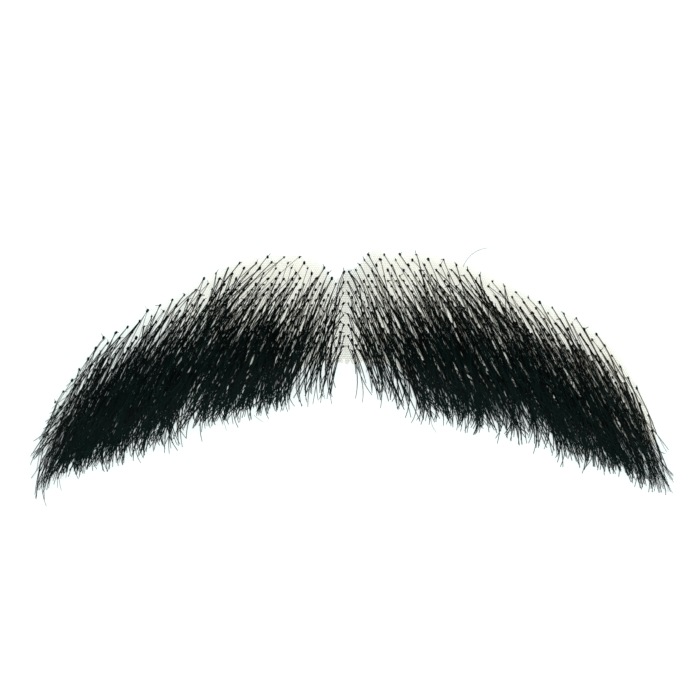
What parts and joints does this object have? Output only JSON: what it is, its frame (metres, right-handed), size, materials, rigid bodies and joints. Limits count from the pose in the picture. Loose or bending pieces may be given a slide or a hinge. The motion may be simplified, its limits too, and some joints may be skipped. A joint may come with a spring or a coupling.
{
  "type": "false moustache",
  "caption": "False moustache: two swept wings of black hair knotted by hand onto a fine pale lace net, parted under the nose, lying flat on its skin side.",
  "frame": {"origin": "on the skin side, in the middle of the lace under the nose, where the moustache is glued to the lip", "axes": "+X across the lip to the viewer's right, +Y up towards the nose, +Z out of the face, away from the surface that it lies on"},
  "size_m": [0.126, 0.0489, 0.0071],
  "materials": {
    "lace": "fine net of pale nylon thread, matt",
    "hair": "black hair with a faint cool sheen"
  },
  "bodies": {
    "root": {"lace_base": "lace", "left_wing": "hair", "right_wing": "hair"}
  },
  "joints": []
}
